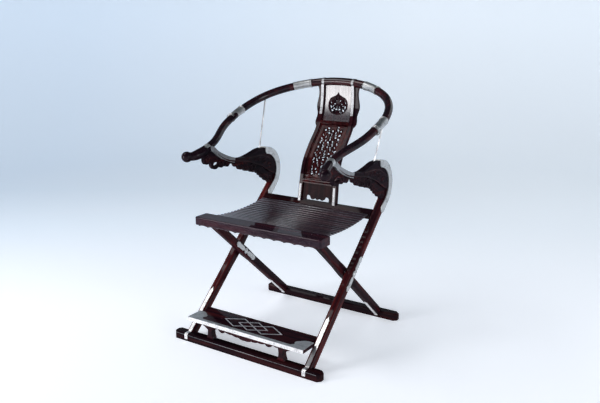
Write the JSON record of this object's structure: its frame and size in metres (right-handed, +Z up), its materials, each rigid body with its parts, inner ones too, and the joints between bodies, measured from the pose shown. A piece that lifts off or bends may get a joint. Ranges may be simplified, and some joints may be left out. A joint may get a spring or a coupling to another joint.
{
  "type": "folding horseshoe chair",
  "caption": "Folding wooden armchair with a horseshoe crest rail, curved openwork splat, crossed legs, a seat of strung slats and a hinged footrest; metal straps and pivot plates.",
  "frame": {"origin": "on the floor under the middle of the chair's bounding box", "axes": "+Z up, the chair faces -Y, +X is the sitter's left"},
  "size_m": [0.7274, 0.7435, 1.0315],
  "materials": {
    "wood_dark": "dark lacquer, glossy",
    "wood_slat": "dark lacquer, satin",
    "metal_pale": "pale silver, satin",
    "cord": "matt twisted cord"
  },
  "bodies": {
    "front_frame": {"arm_bracket_left": "wood_dark", "arm_bracket_right": "wood_dark", "arm_bracket_strips": "metal_pale", "arm_rods": "metal_pale", "crest_rail_centre": "wood_dark", "crest_rail_end_left": "wood_dark", "crest_rail_end_right": "wood_dark", "crest_rail_side_left": "wood_dark", "crest_rail_side_right": "wood_dark", "crest_rail_sleeves": "metal_pale", "front_floor_bar": "wood_dark", "front_leg_left": "wood_dark", "front_leg_right": "wood_dark", "front_leg_straps": "metal_pale", "neck_bands": "metal_pale", "pivot_pins": "metal_pale", "pivot_plates_outer": "metal_pale", "pivot_washers": "metal_pale", "rear_seat_rail": "wood_dark", "seat_cords": "cord", "splat_apron": "wood_dark", "splat_flanges": "wood_dark", "splat_lower_rail": "wood_dark", "splat_medallion": "wood_dark", "splat_middle_panel": "wood_dark", "splat_stile_left": "wood_dark", "splat_stile_right": "wood_dark", "splat_straps": "metal_pale", "splat_top_panel": "wood_dark", "splat_upper_rail": "wood_dark"},
    "rear_frame": {"rear_floor_bar": "wood_dark", "rear_leg_left": "wood_dark", "rear_leg_right": "wood_dark", "front_seat_rail": "wood_dark", "rear_leg_straps": "metal_pale", "pivot_plates_inner": "metal_pale"},
    "footrest": {"footrest_apron": "wood_dark", "footrest_board": "wood_dark", "footrest_brackets": "wood_dark", "footrest_edge_band": "metal_pale", "footrest_end_plates": "metal_pale", "footrest_feet": "wood_dark", "footrest_inlay": "metal_pale", "footrest_pins": "metal_pale"},
    "slat_01": {"seat_slat_01": "wood_slat"},
    "slat_02": {"seat_slat_02": "wood_slat"},
    "slat_03": {"seat_slat_03": "wood_slat"},
    "slat_04": {"seat_slat_04": "wood_slat"},
    "slat_05": {"seat_slat_05": "wood_slat"},
    "slat_06": {"seat_slat_06": "wood_slat"},
    "slat_07": {"seat_slat_07": "wood_slat"},
    "slat_08": {"seat_slat_08": "wood_slat"},
    "slat_09": {"seat_slat_09": "wood_slat"},
    "slat_10": {"seat_slat_10": "wood_slat"},
    "slat_11": {"seat_slat_11": "wood_slat"},
    "slat_12": {"seat_slat_12": "wood_slat"},
    "slat_13": {"seat_slat_13": "wood_slat"},
    "slat_14": {"seat_slat_14": "wood_slat"},
    "slat_15": {"seat_slat_15": "wood_slat"},
    "slat_16": {"seat_slat_16": "wood_slat"}
  },
  "joints": [
    {"name": "frame_fold", "type": "hinge", "parent": "front_frame", "child": "rear_frame", "pos_m": [0, -0.031, 0.303], "axis": [-1, 0, 0], "range_deg": [0, 74], "deforming": ["seat_cords"]},
    {"name": "footrest_fold", "type": "hinge", "parent": "front_frame", "child": "footrest", "pos_m": [0, -0.242, 0.098], "axis": [-1, 0, 0], "range_deg": [0, 92]},
    {"name": "slat_01_turn", "type": "hinge", "parent": "rear_frame", "child": "slat_01", "pos_m": [0, -0.20078, 0.48423], "axis": [1, 0, 0], "range_deg": [-45.3, 0.5]},
    {"name": "slat_02_turn", "type": "hinge", "parent": "rear_frame", "child": "slat_02", "pos_m": [0, -0.2066, 0.48168], "axis": [1, 0, 0], "range_deg": [-37.34, 0.5]},
    {"name": "slat_03_turn", "type": "hinge", "parent": "rear_frame", "child": "slat_03", "pos_m": [0, -0.22297, 0.48435], "axis": [1, 0, 0], "range_deg": [-27.73, 0.5]},
    {"name": "slat_04_turn", "type": "hinge", "parent": "rear_frame", "child": "slat_04", "pos_m": [0, -0.27644, 0.49948], "axis": [1, 0, 0], "range_deg": [-16.88, 0.5]},
    {"name": "slat_05_turn", "type": "hinge", "parent": "rear_frame", "child": "slat_05", "pos_m": [0, -0.60804, 0.59262], "axis": [1, 0, 0], "range_deg": [-5.69, 0.5]},
    {"name": "slat_06_turn", "type": "hinge", "parent": "rear_frame", "child": "slat_06", "pos_m": [0, 0.39866, 0.32445], "axis": [1, 0, 0], "range_deg": [-0.5, 5.75]},
    {"name": "slat_07_turn", "type": "hinge", "parent": "rear_frame", "child": "slat_07", "pos_m": [0, 0.09574, 0.41475], "axis": [1, 0, 0], "range_deg": [-0.5, 14.72]},
    {"name": "slat_08_turn", "type": "hinge", "parent": "rear_frame", "child": "slat_08", "pos_m": [0, 0.04192, 0.4399], "axis": [1, 0, 0], "range_deg": [-0.5, 21.99]},
    {"name": "slat_09_turn", "type": "hinge", "parent": "front_frame", "child": "slat_09", "pos_m": [0, 0.17164, 0.56241], "axis": [1, 0, 0], "range_deg": [-0.5, 65.29]},
    {"name": "slat_10_turn", "type": "hinge", "parent": "front_frame", "child": "slat_10", "pos_m": [0, 0.16061, 0.5476], "axis": [1, 0, 0], "range_deg": [-0.5, 71.72]},
    {"name": "slat_11_turn", "type": "hinge", "parent": "front_frame", "child": "slat_11", "pos_m": [0, 0.1523, 0.53328], "axis": [1, 0, 0], "range_deg": [-0.5, 79.26]},
    {"name": "slat_12_turn", "type": "hinge", "parent": "front_frame", "child": "slat_12", "pos_m": [0, 0.14665, 0.52083], "axis": [1, 0, 0], "range_deg": [-0.5, 87.7]},
    {"name": "slat_13_turn", "type": "hinge", "parent": "front_frame", "child": "slat_13", "pos_m": [0, 0.14331, 0.51117], "axis": [1, 0, 0], "range_deg": [-0.5, 96.6]},
    {"name": "slat_14_turn", "type": "hinge", "parent": "front_frame", "child": "slat_14", "pos_m": [0, 0.14166, 0.50463], "axis": [1, 0, 0], "range_deg": [-0.5, 105.38]},
    {"name": "slat_15_turn", "type": "hinge", "parent": "front_frame", "child": "slat_15", "pos_m": [0, 0.14098, 0.50102], "axis": [1, 0, 0], "range_deg": [-0.5, 113.49]},
    {"name": "slat_16_turn", "type": "hinge", "parent": "front_frame", "child": "slat_16", "pos_m": [0, 0.14057, 0.49981], "axis": [1, 0, 0], "range_deg": [-0.5, 120.6]}
  ],
  "couplings": [
    {"joint": "slat_01_turn", "follows": "frame_fold", "ratio": -0.60539},
    {"joint": "slat_02_turn", "follows": "frame_fold", "ratio": -0.49791},
    {"joint": "slat_03_turn", "follows": "frame_fold", "ratio": -0.36796},
    {"joint": "slat_04_turn", "follows": "frame_fold", "ratio": -0.22128},
    {"joint": "slat_05_turn", "follows": "frame_fold", "ratio": -0.070173},
    {"joint": "slat_06_turn", "follows": "frame_fold", "ratio": 0.070969},
    {"joint": "slat_07_turn", "follows": "frame_fold", "ratio": 0.1922},
    {"joint": "slat_08_turn", "follows": "frame_fold", "ratio": 0.29041},
    {"joint": "slat_09_turn", "follows": "frame_fold", "ratio": 0.87555},
    {"joint": "slat_10_turn", "follows": "frame_fold", "ratio": 0.96245},
    {"joint": "slat_11_turn", "follows": "frame_fold", "ratio": 1.0643},
    {"joint": "slat_12_turn", "follows": "frame_fold", "ratio": 1.1784},
    {"joint": "slat_13_turn", "follows": "frame_fold", "ratio": 1.2987},
    {"joint": "slat_14_turn", "follows": "frame_fold", "ratio": 1.4173},
    {"joint": "slat_15_turn", "follows": "frame_fold", "ratio": 1.5269},
    {"joint": "slat_16_turn", "follows": "frame_fold", "ratio": 1.6229}
  ]
}
